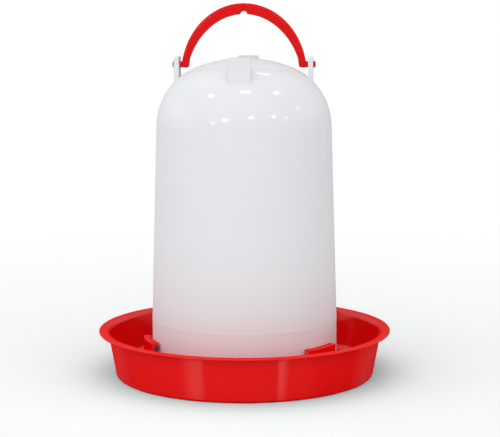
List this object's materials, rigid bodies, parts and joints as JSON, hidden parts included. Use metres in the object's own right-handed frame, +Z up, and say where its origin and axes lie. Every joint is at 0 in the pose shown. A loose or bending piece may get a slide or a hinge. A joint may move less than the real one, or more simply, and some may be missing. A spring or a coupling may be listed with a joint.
{
  "type": "poultry waterer fount",
  "caption": "Bell-shaped siphon drinker for poultry: a milky fount twist-locks onto a round red drinking tray and carries a swinging arched handle.",
  "frame": {"origin": "on the ground, on the tray's upright axis", "axes": "+Z up along the axis of the tray and fount, +X along the handle's pivot pins, -Y to the front"},
  "size_m": [0.3, 0.3, 0.3791],
  "materials": {
    "red_plastic": "gloss moulded polyethylene",
    "milky_plastic": "translucent milky polyethylene, semi-gloss",
    "red_handle_plastic": "gloss moulded polypropylene"
  },
  "bodies": {
    "tray": {"tray": "red_plastic"},
    "fount": {"fount": "milky_plastic"},
    "handle": {"handle": "red_handle_plastic"}
  },
  "joints": [
    {"name": "fount_twist", "type": "hinge", "parent": "tray", "child": "fount", "pos_m": [0, 0, 0.0064], "axis": [0, 0, 1], "range_deg": [0, 25]},
    {"name": "handle_swing", "type": "hinge", "parent": "fount", "child": "handle", "pos_m": [0, 0, 0.3179], "axis": [1, 0, 0], "range_deg": [-82, 82]}
  ]
}
